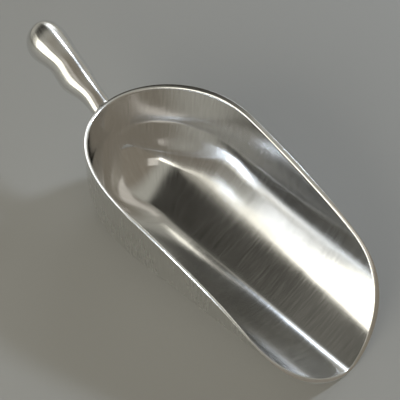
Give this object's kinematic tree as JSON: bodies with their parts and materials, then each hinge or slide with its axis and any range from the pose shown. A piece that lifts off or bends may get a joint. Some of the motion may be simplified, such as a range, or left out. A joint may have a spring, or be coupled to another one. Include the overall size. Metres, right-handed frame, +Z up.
{
  "type": "ice scoop",
  "caption": "Cast aluminium ice scoop: deep round-bottomed bowl with an open rounded lip and a short contoured handle welded to its back wall.",
  "frame": {"origin": "on the plane that the sole rests on, under the middle of the scoop's length and width", "axes": "+X along the scoop from the handle to the lip, +Y across it, +Z up from the sole to the rim"},
  "size_m": [0.3386, 0.1322, 0.1215],
  "materials": {
    "bowl_metal": "polished, with fine polishing lines",
    "handle_metal": "polished",
    "weld_metal": "blended by hand, satin"
  },
  "bodies": {
    "root": {"bowl": "bowl_metal", "handle": "handle_metal", "weld_bead": "weld_metal"}
  },
  "joints": []
}
